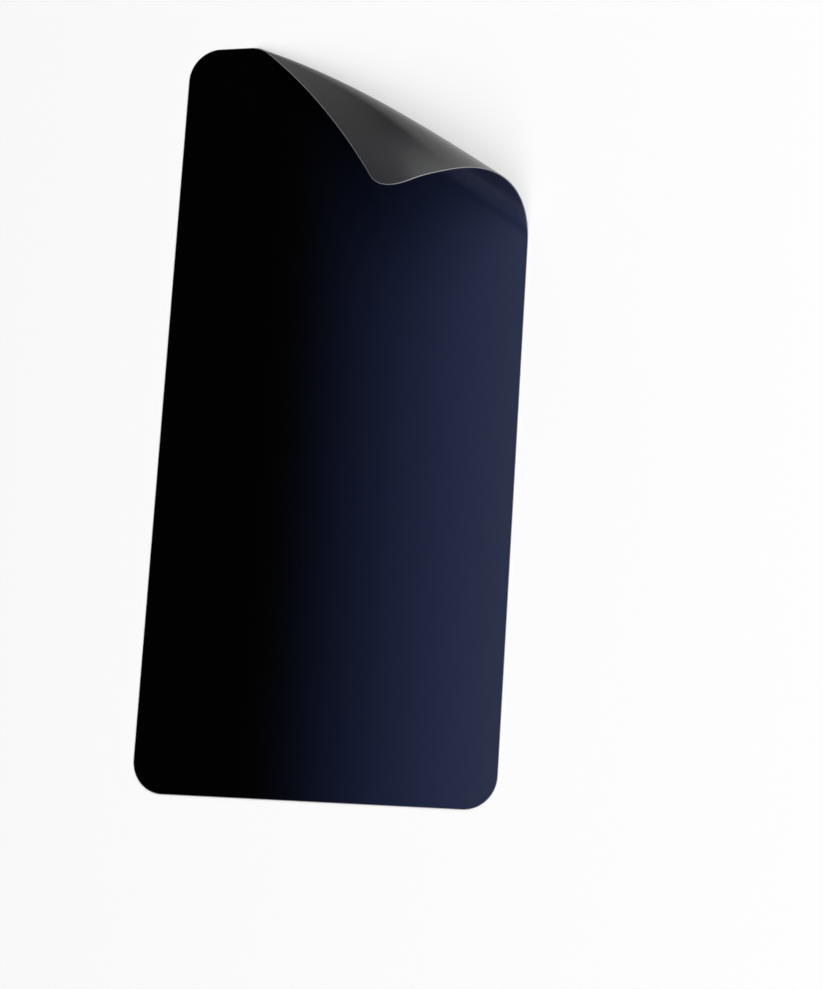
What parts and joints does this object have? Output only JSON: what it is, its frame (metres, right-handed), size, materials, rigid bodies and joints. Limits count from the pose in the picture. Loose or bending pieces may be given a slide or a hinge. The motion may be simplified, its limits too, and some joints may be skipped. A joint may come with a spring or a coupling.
{
  "type": "phone screen protector",
  "caption": "Thin rounded privacy film that sticks to a phone's display, black at one side and smoky at the other, with its top right corner peeled and rolled over.",
  "frame": {"origin": "middle of the film's outline, on its adhesive side", "axes": "+X across the film to its right edge, +Y along it to its top edge, +Z out of its front side"},
  "size_m": [0.068, 0.14, 0.0206],
  "materials": {
    "privacy_film": "gloss film, smoky and partly see-through towards one side"
  },
  "bodies": {
    "root": {"protector_film": "privacy_film"}
  },
  "joints": []
}
